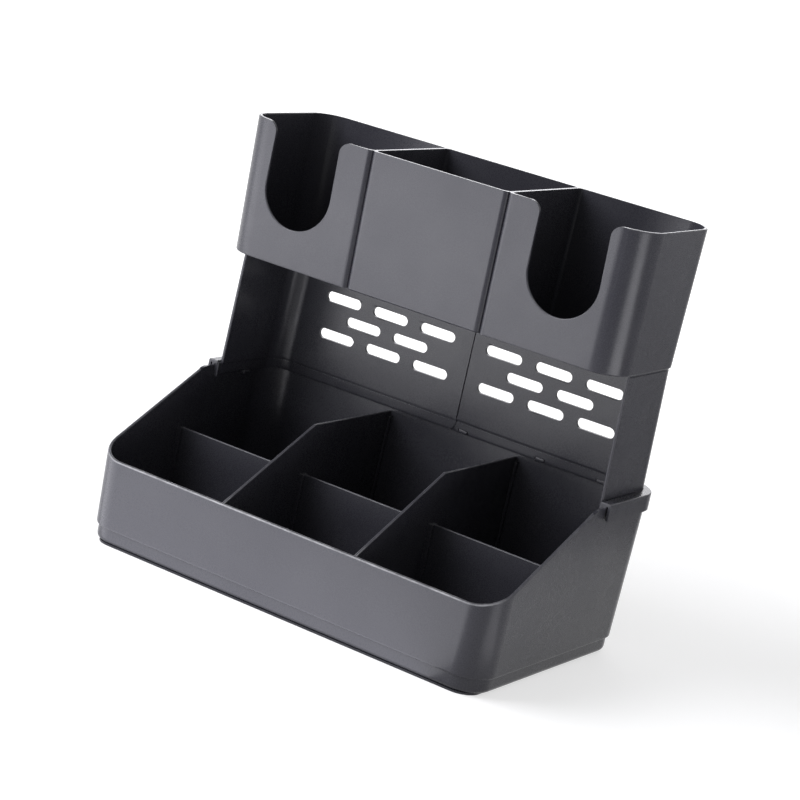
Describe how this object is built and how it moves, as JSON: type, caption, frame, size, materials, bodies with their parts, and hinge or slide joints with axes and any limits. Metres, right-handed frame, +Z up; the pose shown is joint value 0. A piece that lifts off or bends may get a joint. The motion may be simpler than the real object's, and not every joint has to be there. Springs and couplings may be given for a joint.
{
  "type": "countertop drinks caddy",
  "caption": "Charcoal plastic countertop caddy: a sloping tray with divided cells, a clip-in perforated back, and a raised cup bin with finger cut-outs that lifts off.",
  "frame": {"origin": "on the ground under the middle of the tray", "axes": "+X to the right seen from the front, +Y to the back, +Z up"},
  "size_m": [0.311, 0.1903, 0.2812],
  "materials": {
    "charcoal_plastic": "satin"
  },
  "bodies": {
    "caddy": {"base_tray": "charcoal_plastic", "left_back_panel": "charcoal_plastic", "right_back_panel": "charcoal_plastic", "left_long_divider": "charcoal_plastic", "right_long_divider": "charcoal_plastic"},
    "bin": {"cup_bin": "charcoal_plastic"},
    "left_plate": {"left_cross_divider": "charcoal_plastic"},
    "middle_plate": {"middle_cross_divider": "charcoal_plastic"},
    "right_plate": {"right_cross_divider": "charcoal_plastic"}
  },
  "joints": [
    {"name": "bin_lift", "type": "slide", "parent": "caddy", "child": "bin", "axis": [0, 0, 1], "range_m": [0, 0.05]},
    {"name": "left_plate_slide", "type": "slide", "parent": "caddy", "child": "left_plate", "axis": [0, 0, 1], "range_m": [0, 0.065]},
    {"name": "middle_plate_slide", "type": "slide", "parent": "caddy", "child": "middle_plate", "axis": [0, 0, 1], "range_m": [0, 0.065]},
    {"name": "right_plate_slide", "type": "slide", "parent": "caddy", "child": "right_plate", "axis": [0, 0, 1], "range_m": [0, 0.065]}
  ]
}
